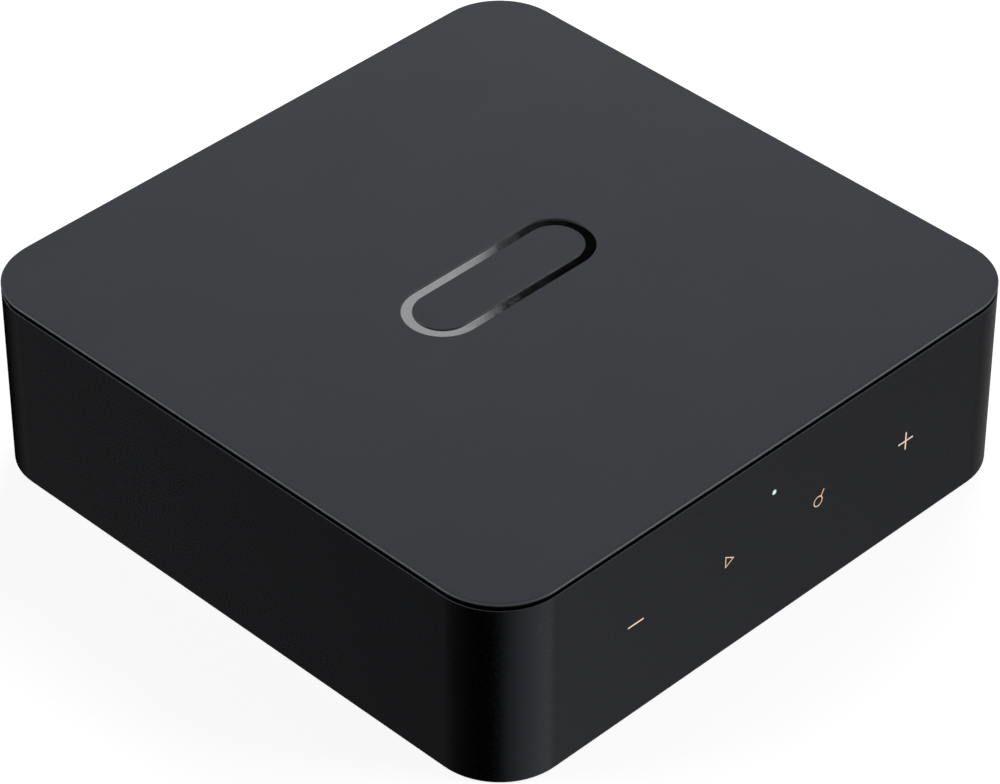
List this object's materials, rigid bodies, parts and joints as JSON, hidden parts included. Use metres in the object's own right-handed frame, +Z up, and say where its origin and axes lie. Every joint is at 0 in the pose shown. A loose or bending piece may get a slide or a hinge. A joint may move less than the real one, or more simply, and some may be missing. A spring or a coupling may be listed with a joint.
{
  "type": "network music streamer",
  "caption": "Low square network music player with rounded corners, a touch front, a status light and a row of audio and network sockets at the rear.",
  "frame": {"origin": "centre of the foot pad's lower face, midway between the four walls", "axes": "+Z up, -Y towards the touch marks at the front, +Y towards the rear sockets, +X to the right of someone facing the front"},
  "size_m": [0.14, 0.1485, 0.042],
  "materials": {
    "plate_charcoal": "matt, finely textured moulding",
    "shell_black": "satin black moulding",
    "base_black": "moulded, lightly textured",
    "trim_mirror": "polished",
    "pad_rubber": "matt",
    "screw_steel": "zinc plated",
    "ballast_steel": "plain sheet",
    "board_laminate": "black solder mask",
    "chip_epoxy": "moulded epoxy",
    "shield_tin": "tinned sheet",
    "heat_sink_black": "black anodised",
    "thermal_silicone": "soft silicone",
    "antenna_film": "amber film over copper",
    "cable_black": "smooth jacket",
    "plug_gold": "gold plated",
    "capacitor_can": "satin can",
    "capacitor_film": "moulded, ochre",
    "ferrite": "moulded iron powder",
    "crystal_can": "nickel plated",
    "copper_pad": "bare copper",
    "led_ceramic": "phosphor over a white body",
    "light_pipe_clear": "clear moulding",
    "ribbon_white": "laminated film",
    "connector_ivory": "moulded",
    "nickel": "nickel plated",
    "connector_black": "moulded",
    "contact_gold": "gold plated",
    "shutter_grey": "moulded",
    "module_epoxy": "smoked epoxy",
    "spring_steel": "drawn wire",
    "insulator_white": "moulded",
    "insulator_red": "moulded",
    "insulator_orange": "moulded"
  },
  "bodies": {
    "player": {"top_plate": "plate_charcoal", "top_inlay": "trim_mirror", "housing_shell": "shell_black", "base_cover": "base_black", "foot_pad": "pad_rubber", "ballast_plate": "ballast_steel", "housing_screws": "screw_steel", "main_board": "board_laminate", "antenna_left": "antenna_film", "antenna_right": "antenna_film", "processor_module": "board_laminate", "processor_shield": "shield_tin", "thermal_pad": "thermal_silicone", "heat_sink": "heat_sink_black", "wifi_module": "board_laminate", "wifi_shield": "shield_tin", "antenna_plugs": "plug_gold", "antenna_cable_left": "cable_black", "antenna_cable_right": "cable_black", "audio_chips": "chip_epoxy", "power_chips": "chip_epoxy", "electrolytic_capacitors": "capacitor_can", "power_inductors": "ferrite", "crystals": "crystal_can", "network_transformer": "chip_epoxy", "film_capacitors": "capacitor_film", "touch_board": "board_laminate", "touch_pads": "copper_pad", "touch_chip": "chip_epoxy", "status_led": "led_ceramic", "status_light_pipe": "light_pipe_clear", "touch_ribbon": "ribbon_white", "ribbon_socket_main": "connector_ivory", "ribbon_socket_touch": "connector_ivory", "power_socket_shell": "nickel", "power_socket_tongue": "connector_black", "network_socket_housing": "connector_black", "network_socket_shield": "nickel", "network_contacts": "contact_gold", "network_light_pipes": "light_pipe_clear", "trigger_jack_body": "connector_black", "trigger_jack_contacts": "nickel", "optical_out_housing": "connector_black", "optical_out_emitter": "module_epoxy", "optical_in_housing": "connector_black", "optical_in_receiver": "module_epoxy", "shutter_springs": "spring_steel", "coax_out_block": "connector_black", "line_out_block": "connector_black", "line_in_block": "connector_black", "phono_sleeves": "contact_gold", "phono_centre_contacts": "contact_gold", "left_channel_insulators": "insulator_white", "right_channel_insulators": "insulator_red", "coax_out_insulator": "insulator_orange"},
    "out_shutter": {"optical_out_shutter": "shutter_grey"},
    "in_shutter": {"optical_in_shutter": "shutter_grey"}
  },
  "joints": [
    {"name": "optical_out_shutter_hinge", "type": "hinge", "parent": "player", "child": "out_shutter", "pos_m": [0.0163, 0.0686, 0.0198], "axis": [-1, 0, 0], "range_deg": [0, 90], "stiffness_Nm_per_rad": 0.0005, "springref_deg": -20.05},
    {"name": "optical_in_shutter_hinge", "type": "hinge", "parent": "player", "child": "in_shutter", "pos_m": [-0.0508, 0.0686, 0.0198], "axis": [-1, 0, 0], "range_deg": [0, 90], "stiffness_Nm_per_rad": 0.0005, "springref_deg": -20.05}
  ]
}
